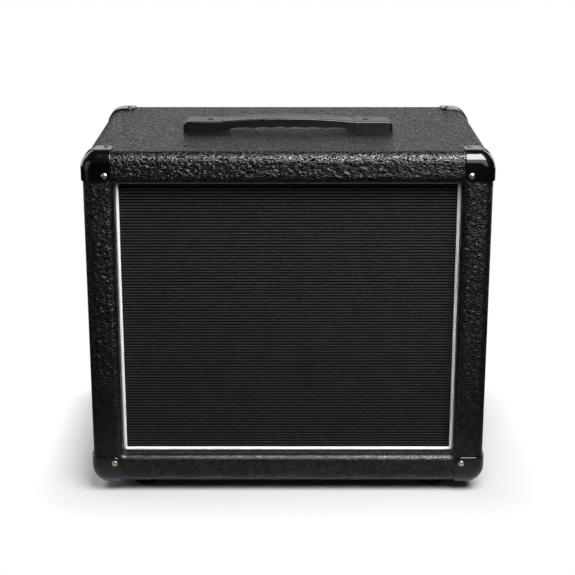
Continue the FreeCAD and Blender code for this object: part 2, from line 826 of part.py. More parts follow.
def corrugated_ring(inner, outer, y, rolls, sheet):
    """Sheet ring of half-round rolls that stand forwards and backwards by turns, the outermost forwards."""
    roll = (outer - inner) / (2 * rolls)
    upper = []
    lower = []
    for i in range(rolls):
        way = 1 if (rolls - i) % 2 else -1
        centre = inner + roll * (2 * i + 1)
        for side, steps in ((1, upper), (-1, lower)):
            radius = roll + way * side * sheet / 2
            steps.append((Vector(centre, y - way * radius), Vector(centre + radius, y)))
    start = Vector(inner - sheet / 2, y)
    back = [Vector(inner + sheet / 2, y)] + [end for _, end in lower]
    homeward = [(via, back[i]) for i, (via, _) in reversed(list(enumerate(lower)))]
    return turned(closed_wire(start, *upper, back[-1], *homeward))


def surround():
    """Rolled edge between the cone's lip and the frame's flange, under the gasket."""
    y = flange_front - surround_sheet / 2
    rolls = corrugated_ring(surround_inner_radius, surround_outer_radius, y, surround_rolls, surround_sheet)
    inner = ring(surround_inner_radius - surround_lip, surround_inner_radius, gasket_rear, flange_front)
    outer = ring(surround_outer_radius, speaker_radius, gasket_rear, flange_front)
    return bolted(rolls.fuse([inner, outer]).removeSplitter())


def cone_line(depth):
    """Curve of the cone from its lip to its neck, pushed back by a depth along the speaker's axis."""
    lip = Vector(surround_inner_radius - surround_lip, cone_front + depth)
    neck = Vector(neck_radius, cone_front + cone_depth + depth)
    bow = Vector((lip.x + neck.x) / 2, (lip.y + neck.y) / 2 - cone_bow)
    return lip, bow, neck


def cone_depth_at(radius):
    """Place of the cone's front face at a radius."""
    circle = Part.Arc(*cone_line(0)).toShape().Curve
    drop = math.sqrt(circle.Radius ** 2 - (radius - circle.Center.x) ** 2)
    return circle.Center.y - drop if circle.Center.y > cone_front + cone_depth else circle.Center.y + drop


def speaker_cone():
    """Flared paper cone with a flat lip glued behind the surround."""
    lip, bow, neck = cone_line(0)
    rear_lip, rear_bow, rear_neck = cone_line(cone_sheet)
    wire = closed_wire(
        Vector(surround_inner_radius, cone_front),
        lip,
        (bow, neck),
        rear_neck,
        (rear_bow, rear_lip),
        Vector(surround_inner_radius, cone_front + cone_sheet),
    )
    return turned(wire)


def dust_cap():
    """Domed cap over the middle of the cone."""
    seat = cone_depth_at(dust_cap_radius) - glue_gap
    faces = []
    for sheet in (0, dust_cap_sheet):
        radius = dust_cap_radius - sheet
        rise = dust_cap_rise - sheet
        reach, height = crown_point(radius, rise)
        faces.append((Vector(0, seat - rise), Vector(reach, seat - height), Vector(radius, seat)))
    (crown, via, rim), (inner_crown, inner_via, inner_rim) = faces
    return turned(closed_wire(crown, (via, rim), inner_rim, (inner_via, inner_crown)))


def voice_coil_former():
    """Thin tube from the cone's neck down into the magnet's gap."""
    end = (basket_rear + plate_rear + coil_length) / 2
    return ring(coil_radius, former_radius, cone_front + cone_depth, end)


def voice_coil():
    """Winding on the former, centred in the top plate."""
    start = (basket_rear + plate_rear - coil_length) / 2
    return ring(former_radius, former_radius + coil_build, start, start + coil_length)


def spider():
    """Corrugated centring disc between the former and the frame's ledge."""
    y = ledge_front - spider_sheet / 2
    rolls = corrugated_ring(spider_inner_radius, spider_outer_radius, y, spider_rolls, spider_sheet)
    inner = ring(neck_radius, spider_inner_radius, ledge_front - spider_sheet, ledge_front)
    outer_edge = basket_ledge_radius - spider_sheet
    outer = ring(spider_outer_radius, outer_edge, ledge_front - spider_sheet, ledge_front)
    return rolls.fuse([inner, outer]).removeSplitter()


def yoke():
    """Rear plate and the pole piece inside the voice coil."""
    plate = ring(0, yoke_radius, magnet_rear, magnet_rear + plate_thickness)
    pole = ring(0, coil_radius - coil_gap, basket_rear, magnet_rear)
    return plate.fuse(pole).removeSplitter()


def tee_nuts():
    """Tee nuts let into the baffle's front face."""
    nuts = []
    for seat, _ in round_places(baffle_front, Y_AXIS):
        flange = rod(tee_nut_flange_radius, seat, seat + Y_AXIS * tee_nut_flange_thickness)
        barrel = rod(tee_nut_barrel_radius, seat, seat + Y_AXIS * tee_nut_length)
        nuts.append(flange.fuse(barrel).removeSplitter())
    return Part.makeCompound([bolted(nut) for nut in nuts])


def terminal_board():
    """Fibre board on the rear of the frame's ledge."""
    half_width = terminal_board_width / 2
    return block((-half_width, half_width), (terminal_front, terminal_rear), (terminal_low, terminal_top))


def terminal_lugs():
    """Two flat tabs on the board, which stand out below it."""
    depth = (terminal_rear, terminal_rear + lug_thickness)
    heights = (terminal_low - lug_overhang, terminal_top - lug_inset)
    lugs = []
    for side in (-1, 1):
        x = side * lug_spacing / 2
        lugs.append(block((x - lug_width / 2, x + lug_width / 2), depth, heights))
    return Part.makeCompound(lugs)


def tinsel_leads():
    """Braided wires from the board round the frame's rim to the back of the cone."""
    cone_rear = cone_depth_at(tinsel_land_radius) + cone_sheet + tinsel_stand_off
    leads = []
    for side in (-1, 1):
        x = side * lug_spacing / 2
        landing = Vector(x, cone_rear, middle - tinsel_land_radius)
        points = [
            Vector(x, terminal_front, tinsel_exit),
            Vector(x, (terminal_front + cone_rear) / 2, tinsel_exit),
            Vector(x, cone_rear, (tinsel_exit + landing.z) / 2),
            landing,
        ]
        leads.append(tube("tinsel lead", points, tinsel_radius))
    return Part.makeCompound(leads)


def speaker_leads():
    """Insulated wires that leave the terminal lugs and the socket's rear squarely, with slack between."""
    lug_z = terminal_low - lug_overhang + lead_inset
    leads = []
    stub = Y_AXIS * lead_stub
    for side in (-1, 1):
        lug = Vector(side * lug_spacing / 2, terminal_rear + lug_thickness, lug_z)
        socket = Vector(side * lead_spread / 2, jack_body_end, jack_z)
        start = lug + stub
        end = socket - stub
        slack = [
            start + (end - start) * run - Z_AXIS * lead_sag * drop
            for run, drop in zip(lead_run_shares, lead_drop_shares)
        ]
        leads.append(tube("speaker lead", [lug] + slack + [socket], lead_radius))
    return Part.makeCompound(leads)


def dish_outline(inset, y):
    """Rounded rectangle of the jack dish's cup, drawn in by an inset."""
    half_width = dish_width / 2 - dish_flange_width - inset
    half_height = dish_height / 2 - dish_flange_width - inset
    z_range = (jack_z - half_height, jack_z + half_height)
    plate = slab(half_width, z_range, (y, y + dish_wall), dish_corner_radius - dish_wall)
    return Part.Wire(Part.__sortEdges__(edges_at(plate, y)))


def jack_dish():
    """Moulded cup with a tapered wall, a flange outside the panel and a floor for the socket."""
    z_range = (jack_z - dish_height / 2, jack_z + dish_height / 2)
    flange = slab(dish_width / 2, z_range, (back_face, back_face + dish_flange_thickness), dish_corner_radius)
    mouth = back_face + dish_flange_thickness
    cup = Part.makeLoft([dish_outline(0, back_face), dish_outline(dish_draft, dish_floor_outer)], True)
    inner_mouth = dish_outline(dish_wall, mouth)
    hollow = Part.makeLoft([inner_mouth, dish_outline(dish_wall + dish_draft, dish_floor_inner)], True)
    axle = Vector(0, dish_floor_outer, jack_z)
    hole = rod(jack_bush_radius + jack_bush_gap, axle - Y_AXIS * overrun, axle + Y_AXIS * dish_depth)
    dish = flange.fuse(cup).removeSplitter().cut([hollow, hole])
    return drilled(dish, dish_places(), dish_screw)


def back_panel():
    """Back panel with the jack dish's hole and its screw holes."""
    half_width = opening_half_width - back_panel_gap
    z_range = (opening_low + back_panel_gap, opening_high - back_panel_gap)
    board = slab(half_width, z_range, (ledge_face, back_face), back_corner_radius - back_panel_gap)
    half_hole = dish_width / 2 - dish_flange_width + dish_hole_gap
    half_height = dish_height / 2 - dish_flange_width + dish_hole_gap
    hole_range = (jack_z - half_height, jack_z + half_height)
    depth = (ledge_face - overrun, back_face + overrun)
    hole = slab(half_hole, hole_range, depth, dish_corner_radius - dish_wall)
    board = drilled(board.cut(hole), back_places(), back_screw)
    return drilled(board, dish_places(), dish_screw)


def jack_socket():
    """Socket: a moulded body inside the dish's floor and a bush through it, bored for the plug."""
    half = jack_body_width / 2
    body = slab(half, (jack_z - half, jack_z + half), (jack_body_end, dish_floor_outer), jack_body_corner)
    start = Vector(0, dish_floor_outer, jack_z)
    mouth = Vector(0, jack_mouth, jack_z)
    socket = body.fuse(rod(jack_bush_radius, start, mouth)).removeSplitter()
    return socket.cut(rod(jack_bore_radius, mouth - Y_AXIS * jack_bore_length, mouth + Y_AXIS * overrun))


def jack_nut():
    """Ring nut on the bush, against the dish's floor."""
    start = Vector(0, dish_floor_inner, jack_z)
    end = start + Y_AXIS * jack_nut_thickness
    bore = rod(jack_bush_radius + jack_bush_gap, start - Y_AXIS * overrun, end + Y_AXIS * overrun)
    return rod(jack_nut_radius, start, end).cut(bore)


def bored_wood(pieces):
    """Wooden and vinyl pieces with the holes of every screw that enters them."""
    groups = [
        (corner_places(), corner_screw),
        (foot_places(), foot_screw),
        (handle_places(), handle_bolt),
        (baffle_places(), baffle_screw),
        (back_places(), back_screw),
    ]
    for group in groups:
        pieces = {name: drilled(piece, *group) for name, piece in pieces.items()}
    return pieces


def all_pieces():
    """Every piece by the name of its node."""
    pieces = {"vinyl_covering": vinyl_covering()}
    pieces.update(wooden_panels())
    pieces.update(front_rails())
    pieces.update(rear_rails())
    pieces = bored_wood(pieces)
    pieces.update(corner_protectors())
    pieces.update({name: rubber_foot(centre) for name, centre in foot_centres().items()})
    pieces.update(
        baffle=baffle(),
        baffle_screws=fasteners(baffle_places(), baffle_screw),
        grille_cloth=grille_cloth(),
        piping=piping(),
        back_panel=back_panel(),
        back_panel_screws=fasteners(back_places(), back_screw),
        corner_screws=fasteners(corner_places(), corner_screw),
        foot_screws=fasteners(foot_places(), foot_screw),
        handle_strap=handle_strap(),
        handle_core=handle_core(),
        handle_cap_left=handle_cap(-1),
        handle_cap_right=handle_cap(1),
        handle_bolts=fasteners(handle_places(), handle_bolt),
        handle_nuts=handle_nuts(),
        speaker_basket=speaker_basket(),
        speaker_gasket=bolted(ring(cutout_radius, speaker_radius, baffle_rear, gasket_rear)),
        surround=surround(),
        cone=speaker_cone(),
        dust_cap=dust_cap(),
        voice_coil_former=voice_coil_former(),
        voice_coil=voice_coil(),
        spider=spider(),
        top_plate=ring(former_radius + coil_build + coil_gap, plate_radius, basket_rear, plate_rear),
        magnet=ring(magnet_bore_radius, magnet_radius, plate_rear, magnet_rear),
        yoke=yoke(),
        terminal_board=terminal_board(),
        terminal_lugs=terminal_lugs(),
        tinsel_leads=tinsel_leads(),
        speaker_bolts=fasteners(round_places(flange_rear, Y_AXIS), speaker_bolt),
        speaker_tee_nuts=tee_nuts(),
        speaker_leads=speaker_leads(),
        jack_dish=jack_dish(),
        jack_dish_screws=fasteners(dish_places(), dish_screw),
        jack_socket=jack_socket(),
        jack_nut=jack_nut(),
    )
    return pieces


os.makedirs("parts", exist_ok=True)
for name, piece in all_pieces().items():
    print(name, "solids", len(piece.Solids), "volume", round(piece.Volume), "valid", piece.isValid())
    piece.exportStep("parts/{}.step".format(name))
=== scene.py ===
"""Looks of a closed-back guitar speaker cabinet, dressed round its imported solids."""

import math

import bmesh
import bpy
from mathutils import Matrix, Vector


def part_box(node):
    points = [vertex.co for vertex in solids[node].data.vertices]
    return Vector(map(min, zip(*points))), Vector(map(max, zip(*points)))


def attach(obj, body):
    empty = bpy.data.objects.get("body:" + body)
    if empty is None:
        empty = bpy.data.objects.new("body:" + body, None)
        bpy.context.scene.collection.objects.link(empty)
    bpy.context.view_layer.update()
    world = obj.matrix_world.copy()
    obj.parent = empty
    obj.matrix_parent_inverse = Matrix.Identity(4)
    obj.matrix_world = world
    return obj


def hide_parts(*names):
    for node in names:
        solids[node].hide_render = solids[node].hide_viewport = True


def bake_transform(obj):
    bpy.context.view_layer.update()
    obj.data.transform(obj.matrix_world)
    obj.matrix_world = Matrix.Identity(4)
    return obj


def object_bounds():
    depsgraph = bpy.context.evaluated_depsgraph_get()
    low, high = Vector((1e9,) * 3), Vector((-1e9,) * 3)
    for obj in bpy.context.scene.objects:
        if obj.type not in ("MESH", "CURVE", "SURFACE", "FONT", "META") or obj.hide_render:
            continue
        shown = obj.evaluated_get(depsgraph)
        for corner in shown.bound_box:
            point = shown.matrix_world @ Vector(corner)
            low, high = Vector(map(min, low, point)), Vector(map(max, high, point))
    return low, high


bl_info = {
    "name": "Guitar speaker cabinet",
    "version": (1, 0, 0),
    "blender": (4, 5, 0),
    "location": "3D View > Sidebar > Cabinet",
    "description": "Dresses the cabinet in vinyl, grille cloth, piping, moulded corners and a strap handle",
    "category": "Object",
}

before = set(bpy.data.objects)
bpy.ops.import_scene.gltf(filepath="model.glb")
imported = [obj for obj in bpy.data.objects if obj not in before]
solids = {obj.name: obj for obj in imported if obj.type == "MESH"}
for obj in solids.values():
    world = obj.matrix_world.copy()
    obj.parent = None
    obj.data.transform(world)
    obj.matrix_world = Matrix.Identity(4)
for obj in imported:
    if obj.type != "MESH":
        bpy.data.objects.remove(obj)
cad_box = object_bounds()

MM = 0.001
WAVE_PERIOD = math.pi / 10  # of a Wave texture's bands at a scale of one
SEAM = 0.001 * MM  # corners that are closer than this are one
SHARP_ANGLE = math.radians(35)
FLAT_ANGLE = math.radians(1)
CLOTH_STEPS = (60, 50)
BOW_STEPS = 48  # lengths in each half of the strap, so that it bows in a smooth line
UNDERSIDE = 6 * MM  # of the strap, over its lowest point
LONG_EDGE = 1.8 * MM  # rounding along the strap and its caps
FLOOR_HALF = 20.0

CORNERS = [name for name in solids if name.startswith("corner_") and name != "corner_screws"]
FEET = [name for name in solids if name.startswith("foot_") and name != "foot_screws"]
BOARDS = [name for name in solids if name.endswith("_panel") and name != "back_panel"]
RAILS = [name for name in solids if "_rail_" in name]

# Lamps in metres: place, point that is faced, width and height
LAMPS = {
    "key": ((0.41, -0.87, 1.43), (0, -0.16, 0.3), (1.1, 1.1)),
    "back": ((-1.5, 1.0, 0.9), (0, 0, 0.25), (1.4, 1.4)),
    "front card": ((0.73, -1.54, 0.79), (0, -0.16, 0.4), (1.16, 0.8)),
    "high card": ((0.41, -0.88, 1.44), (0, -0.16, 0.3), (1.1, 1.1)),
    "left card": ((-1.9, -1.25, 0.6), (0, 0, 0.25), (1.4, 1.2)),
    "right card": ((1.5, 1.4, 0.7), (0, 0, 0.25), (1.4, 1.4)),
}


def linear(code):
    """Linear colour of an sRGB hex value, with full alpha."""
    shares = [int(code[i : i + 2], 16) / 255 for i in (0, 2, 4)]
    return [s / 12.92 if s <= 0.04045 else ((s + 0.055) / 1.055) ** 2.4 for s in shares] + [1.0]


def colour(name, description, code):
    """Colour property with an sRGB hex value as its default."""
    return bpy.props.FloatVectorProperty(
        name=name, description=description, subtype="COLOR", size=4, min=0, max=1, default=linear(code)
    )


def length(name, description, millimetres):
    """Length property with its default in millimetres."""
    return bpy.props.FloatProperty(
        name=name,
        description=description,
        unit="LENGTH",
        subtype="DISTANCE",
        default=millimetres * MM,
        precision=5,
    )


def watts(name, description, power):
    """Power property of a lamp."""
    return bpy.props.FloatProperty(name=name, description=description, unit="POWER", default=power)


class CabinetFinishes(bpy.types.PropertyGroup):
    """Colours of the cabinet's surfaces."""

    vinyl_crest: colour("Vinyl crest", "Raised grain of the embossed vinyl", "0B0B0C")
    # painted shade: the crease colour is darker than the crests, where shade falls in the creases
    vinyl_crease_shade: colour("Vinyl crease", "Creases between the grain", "020202")
    thread: colour("Cloth thread", "Upper threads of the grille cloth", "3A3A37")
    # painted shade: the near-black gap colour stands in for the shade between the threads
    thread_gap_shade: colour("Cloth gap", "Gaps between the cloth's threads", "030303")
    piping: colour("Piping", "Plastic bead round the grille", "F6F6F3")
    corner: colour("Corner", "Moulded corner protectors", "050506")
    brass: colour("Brass", "Plated heads of the corner screws", "E3D0A6")
    rubber: colour("Rubber", "Strap and feet", "0E0E0F")
    cap: colour("Cap", "Moulded end caps and the jack dish", "0F0F11")
    wood: colour("Wood", "Birch plywood of the box", "C9A878")
    paper: colour("Paper", "Pressed paper of the speaker cone", "2B2926")


class CabinetPatterns(bpy.types.PropertyGroup):
    """Real sizes of the surface patterns."""

    grain_pitch: length("Grain pitch", "Spacing of the vinyl's wrinkles", 2.5)
    grain_height: length("Grain height", "Height of the vinyl's raised grain", 0.29)
    rib_pitch: length("Rib pitch", "Spacing of the cloth's ribs", 3.76)
    thread_pitch: length("Thread pitch", "Length of a thread's float along a rib", 2.6)
    finger_pitch: length("Finger pitch", "Width of a finger's hollow under the strap", 22.6)
    finger_depth: length("Finger depth", "Depth of the finger hollows under the strap", 1.4)
    # A real spark texture is finer: this is as coarse as it needs to be to show
    moulding_grit: length("Moulding grit", "Texture size of the moulded plastic and rubber", 0.8)


class StudioSettings(bpy.types.PropertyGroup):
    """Camera and lamps."""

    focal_length: bpy.props.FloatProperty(
        name="Focal length", description="Lens on a 36 mm sensor", default=91.17
    )
    distance: length("Distance", "From the lens to the middle of the front face", 1797.7)
    target_height: length("Target height", "Height of the point looked at", 282.65)
    elevation: bpy.props.FloatProperty(
        name="Elevation",
        description="Of the lens over the point looked at",
        subtype="ANGLE",
        default=math.radians(16.8244),
    )
    shift_x: bpy.props.FloatProperty(
        name="Shift X", description="Of the picture, in frame widths", default=-0.00096, precision=5
    )
    shift_y: bpy.props.FloatProperty(
        name="Shift Y", description="Of the picture, in frame widths", default=-0.0077, precision=5
    )
    key_power: watts("Key", "Softbox high on the right", 46)
    back_power: watts("Back", "Softbox behind on the left", 14)
    card_power: watts("Front card", "Card in front that shows in gloss alone", 5.9)
    high_power: watts("High card", "Card beside the key that shows in gloss alone", 14)
    left_power: watts("Left card", "Card on the left that shows in gloss alone", 4)
    right_power: watts("Right card", "Card behind on the right that shows in gloss alone", 16)
    room_level: bpy.props.FloatProperty(
        name="Room", description="Light of the room", default=0.04, min=0, max=1
    )


def add(tree, kind, inputs=None, **settings):
    """Adds a node with its settings, and sets or links its inputs."""
    node = tree.nodes.new(kind)
    for name, value in settings.items():
        setattr(node, name, value)
    for name, value in (inputs or {}).items():
        if isinstance(value, bpy.types.NodeSocket):
            tree.links.new(value, node.inputs[name])
        else:
            node.inputs[name].default_value = value
    return node


def surface(name, constants):
    """New material whose shader has its even sockets set: gives it with its tree, shader and coordinates."""
    material = bpy.data.materials.new(name)
    material.use_nodes = True
    tree = material.node_tree
    tree.nodes.clear()
    shader = add(tree, "ShaderNodeBsdfPrincipled", constants)
    add(tree, "ShaderNodeOutputMaterial", {"Surface": shader.outputs["BSDF"]})
    place = add(tree, "ShaderNodeTexCoord").outputs["Object"]
    return material, tree, shader, place


def dress(material, *names):
    """Puts a material on solids of the frame."""
    for name in names:
        solids[name].data.materials.clear()
        solids[name].data.materials.append(material)


def darker(rgba, share):
    """The same colour at a share of its strength."""
    return [channel * share for channel in rgba[:3]] + [1.0]


def wrinkles(tree, place, pitch, across, turn, waviness):
    """Height of fine wrinkles: wavy ridges across an axis, turned about Y and broken into short lengths."""
    patch_size = 1.6 * pitch
    patch_low, patch_high = 0.3, 0.65  # of the noise, from pressed down to raised
    sunk_share = 0.58  # of a wrinkle's height, left in the patches that are pressed down
    turned = add(tree, "ShaderNodeMapping", {"Vector": place, "Rotation": (0, turn, 0)})
    ridges = add(
        tree,
        "ShaderNodeTexWave",
        {
            "Vector": turned.outputs["Vector"],
            "Scale": WAVE_PERIOD / pitch,
            "Distortion": waviness,
            "Detail": 1.0,
            "Detail Scale": 1.6,
            "Detail Roughness": 0.5,
        },
        bands_direction=across,
    )
    patches = add(tree, "ShaderNodeTexNoise", {"Vector": place, "Scale": 1 / patch_size, "Detail": 1.0})
    raised = add(
        tree,
        "ShaderNodeMapRange",
        {
            "Value": patches.outputs["Fac"],
            "From Min": patch_low,
            "From Max": patch_high,
            "To Min": sunk_share,
        },
    )
    return add(
        tree, "ShaderNodeMath", {0: ridges.outputs["Fac"], 1: raised.outputs[0]}, operation="MULTIPLY"
    ).outputs[0]


def vinyl_grain(tree, place, pitch):
    """Height of the vinyl's grain: wrinkles that follow the wrap and are pulled flatter towards the floor."""
    mitre_blend = 5 * MM
    turn_start, turn_end = 6 * MM, 2 * MM  # under the top face, where the wrinkles turn to lie along it
    front_waves, side_waves = 12.0, 8.5
    side_slope = math.radians(18)
    taut_height = 40 * MM  # over the lower edge: the wrinkles are flattest up to here
    taut_share, taut_level = 0.4, 0.57  # what is left of the wrinkles there, and the height they lie at
    low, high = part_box("vinyl_covering")
    middle = (low + high) / 2
    half = high.z - middle.z
    mitre = high.x - half
    axes = add(tree, "ShaderNodeSeparateXYZ", {"Vector": place}).outputs
    across = add(tree, "ShaderNodeMath", {0: axes["X"]}, operation="ABSOLUTE").outputs[0]
    up = add(tree, "ShaderNodeMath", {0: axes["Z"], 1: middle.z}, operation="SUBTRACT").outputs[0]
    height = add(tree, "ShaderNodeMath", {0: up}, operation="ABSOLUTE").outputs[0]
    lead = add(tree, "ShaderNodeMath", {0: across, 1: height}, operation="SUBTRACT").outputs[0]
    side = add(
        tree,
        "ShaderNodeMapRange",
        {"Value": lead, "From Min": mitre - mitre_blend, "From Max": mitre + mitre_blend},
        interpolation_type="SMOOTHSTEP",
    ).outputs[0]
    level = add(
        tree,
        "ShaderNodeMapRange",
        {"Value": height, "From Min": half - turn_start, "From Max": half - turn_end},
        interpolation_type="SMOOTHSTEP",
    ).outputs[0]
    taut = add(
        tree,
        "ShaderNodeMapRange",
        {"Value": axes["Z"], "From Min": low.z + taut_height, "From Max": middle.z, "To Min": taut_share},
        interpolation_type="SMOOTHSTEP",
    ).outputs[0]
    mirrored = add(tree, "ShaderNodeCombineXYZ", {"X": across, "Y": axes["Y"], "Z": axes["Z"]}).outputs[0]
    upright = wrinkles(tree, place, pitch, "Z", 0, front_waves)
    flat = wrinkles(tree, place, pitch, "Y", 0, front_waves)
    down_side = wrinkles(tree, mirrored, pitch, "Z", side_slope, side_waves)
    over_top = add(tree, "ShaderNodeMix", {"Factor": level, "A": upright, "B": flat}).outputs["Result"]
    wrapped = add(tree, "ShaderNodeMix", {"Factor": side, "A": over_top, "B": down_side}).outputs["Result"]
    return add(tree, "ShaderNodeMix", {"Factor": taut, "A": taut_level, "B": wrapped}).outputs["Result"]


def embossed_vinyl(finishes, patterns):
    """PVC on cloth, embossed between rollers: satin crests, duller creases and wrinkles across the wrap; the
    creases carry painted shade, a darker colour and a weaker shine.
    """
    pore_size, pore_share = 0.9 * MM, 0.12  # real pores are finer: as coarse as they need to be to show
    crease_roughness, crest_roughness = 0.55, 0.24
    rub_size = 9 * MM  # of the patches that hands and transport have polished
    rub_low, rub_high = 0.35, 0.65  # of the noise, from dull to polished
    dull_share, polished_share = 0.85, 1.15
    keenness = 1.6  # over one, the gloss keeps to the highest crests and the painted shade spreads out from the creases
    # painted shade: the creases' shine is turned down where shade falls in them
    shaded_crease_gloss, crest_gloss = 0.01, 1.25
    material, tree, shader, place = surface("embossed PVC vinyl", {"IOR": 1.5})
    grain = vinyl_grain(tree, place, patterns.grain_pitch)
    pores = add(tree, "ShaderNodeTexNoise", {"Vector": place, "Scale": 1 / pore_size, "Detail": 2.0})
    relief = add(
        tree, "ShaderNodeMath", {0: pores.outputs["Fac"], 1: pore_share, 2: grain}, operation="MULTIPLY_ADD"
    )
    # painted shade: the colour darkens from the crests into the creases
    tone = add(
        tree,
        "ShaderNodeMix",
        {"Factor": grain, 6: finishes.vinyl_crease_shade, 7: finishes.vinyl_crest},
        data_type="RGBA",
    )
    sheen = add(
        tree, "ShaderNodeMapRange", {"Value": grain, "To Min": crease_roughness, "To Max": crest_roughness}
    )
    rub = add(tree, "ShaderNodeTexNoise", {"Vector": place, "Scale": 1 / rub_size, "Detail": 2.0})
    polish = add(
        tree,
        "ShaderNodeMapRange",
        {
            "Value": rub.outputs["Fac"],
            "From Min": rub_low,
            "From Max": rub_high,
            "To Min": dull_share,
            "To Max": polished_share,
        },
    )
    shine = add(tree, "ShaderNodeMath", {0: grain, 1: polish.outputs[0]}, operation="MULTIPLY")
    keen = add(tree, "ShaderNodeMath", {0: shine.outputs[0], 1: keenness}, operation="POWER")
    gloss = add(
        tree, "ShaderNodeMapRange", {"Value": keen.outputs[0], "To Min": shaded_crease_gloss, "To Max": crest_gloss}
    )
    bump = add(
        tree,
        "ShaderNodeBump",
        {"Height": relief.outputs[0], "Distance": patterns.grain_height, "Strength": 1.0},
    )
    tree.links.new(tone.outputs[2], shader.inputs["Base Color"])
    tree.links.new(sheen.outputs["Result"], shader.inputs["Roughness"])
    tree.links.new(gloss.outputs["Result"], shader.inputs["Specular IOR Level"])
    tree.links.new(bump.outputs["Normal"], shader.inputs["Normal"])
    return material


def grained(name, constants, crest, hollow, size, depth, roughness):
    """Material with an even grit: a noise of one size that turns its colour, its shine and its height."""
    grit_low, grit_high = 0.25, 0.75  # where most of the noise's values lie
    material, tree, shader, place = surface(name, constants)
    grit = add(tree, "ShaderNodeTexNoise", {"Vector": place, "Scale": 1 / size, "Detail": 3.0})
    tone = add(
        tree, "ShaderNodeMix", {"Factor": grit.outputs["Fac"], 6: hollow, 7: crest}, data_type="RGBA"
    )
    shine = add(
        tree,
        "ShaderNodeMapRange",
        {
            "Value": grit.outputs["Fac"],
            "From Min": grit_low,
            "From Max": grit_high,
            "To Min": roughness[0],
            "To Max": roughness[1],
        },
    )
    bump = add(tree, "ShaderNodeBump", {"Height": grit.outputs["Fac"], "Distance": depth, "Strength": 1.0})
    tree.links.new(tone.outputs[2], shader.inputs["Base Color"])
    tree.links.new(shine.outputs["Result"], shader.inputs["Roughness"])
    tree.links.new(bump.outputs["Normal"], shader.inputs["Normal"])
    return material


def polish_flanks(material, node, edge):
    """Rubs the flanks of a piece along X smooth, from an edge's width inside them, and leaves its top dull."""
    flank_roughness = 0.13
    blend_share = 0.4  # of the edge's width, over which the top turns smooth
    low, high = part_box(node)
    tree = material.node_tree
    rough = next(item for item in tree.nodes if item.type == "BSDF_PRINCIPLED").inputs["Roughness"]
    dull = rough.links[0].from_socket
    place = add(tree, "ShaderNodeTexCoord").outputs["Object"]
    across = add(tree, "ShaderNodeSeparateXYZ", {"Vector": place}).outputs["Y"]
    off = add(tree, "ShaderNodeMath", {0: across, 1: (low.y + high.y) / 2}, operation="SUBTRACT")
    aside = add(tree, "ShaderNodeMath", {0: off.outputs[0]}, operation="ABSOLUTE")
    start = (high.y - low.y) / 2 - edge
    flank = add(
        tree,
        "ShaderNodeMapRange",
        {"Value": aside.outputs[0], "From Min": start, "From Max": start + blend_share * edge},
    )
    rubbed = add(tree, "ShaderNodeMix", {"Factor": flank.outputs[0], "A": dull, "B": flank_roughness})
    tree.links.new(rubbed.outputs["Result"], rough)
    return material


def woven_grille(finishes, patterns):
    """Plastic-coated yarn in a ribbed weave: dull floats in rows, with dark gaps between them that are painted
    shade, and painted shade that darkens each float towards its gaps.
    """
    gap_share = 0.41  # of a rib's height that its dark edges take
    end_share = 3  # the gaps at a float's ends are this many times finer than those between rows
    gap_edge, gap_shade, float_shade = 0.8, 0.1, 1.1  # painted shade between the threads: how deep a gap is darkest, its tone and a float's
    fibre_size = 0.8 * MM  # real fibres are finer: as coarse as they need to be to show
    fibre_shades, fibre_roughness = (0.8, 1.35), (0.65, 0.85)
    dark_share = 0.75  # tone of the darkest floats beside the palest
    relief = 0.5 * MM
    material, tree, shader, place = surface("woven grille cloth", {"IOR": 1.45, "Specular IOR Level": 0.08})
    upright = add(
        tree,
        "ShaderNodeMapping",
        {"Vector": place, "Rotation": (math.radians(90), 0, 0), "Scale": (end_share, 1, 1)},
    )
    weave = add(
        tree,
        "ShaderNodeTexBrick",
        {
            "Vector": upright.outputs["Vector"],
            "Color1": finishes.thread,
            "Color2": darker(finishes.thread, dark_share),
            "Mortar": finishes.thread_gap_shade,
            "Scale": 1.0,
            "Mortar Size": gap_share * patterns.rib_pitch,
            "Mortar Smooth": 1.0,
            "Brick Width": end_share * patterns.thread_pitch,
            "Row Height": patterns.rib_pitch,
        },
        offset=0.5,
        offset_frequency=2,
    )
    fibre = add(tree, "ShaderNodeTexNoise", {"Vector": place, "Scale": 1 / fibre_size, "Detail": 2.0})
    # painted shade: each float darkens towards the gaps beside it
    gap_shading = add(
        tree,
        "ShaderNodeMapRange",
        {"Value": weave.outputs["Fac"], "From Max": gap_edge, "To Min": float_shade, "To Max": gap_shade},
    )
    worn = add(
        tree,
        "ShaderNodeMapRange",
        {"Value": fibre.outputs["Fac"], "To Min": fibre_shades[0], "To Max": fibre_shades[1]},
    )
    shade = add(
        tree, "ShaderNodeMath", {0: gap_shading.outputs["Result"], 1: worn.outputs["Result"]}, operation="MULTIPLY"
    )
    tone = add(
        tree,
        "ShaderNodeMix",
        {"Factor": 1.0, 6: weave.outputs["Color"], 7: shade.outputs[0]},
        data_type="RGBA",
        blend_type="MULTIPLY",
    )
    bump = add(
        tree,
        "ShaderNodeBump",
        {"Height": weave.outputs["Fac"], "Distance": relief, "Strength": 0.8},
        invert=True,
    )
    rough = add(
        tree,
        "ShaderNodeMapRange",
        {"Value": fibre.outputs["Fac"], "To Min": fibre_roughness[0], "To Max": fibre_roughness[1]},
    )
    tree.links.new(tone.outputs[2], shader.inputs["Base Color"])
    tree.links.new(rough.outputs["Result"], shader.inputs["Roughness"])
    tree.links.new(bump.outputs["Normal"], shader.inputs["Normal"])
    return material


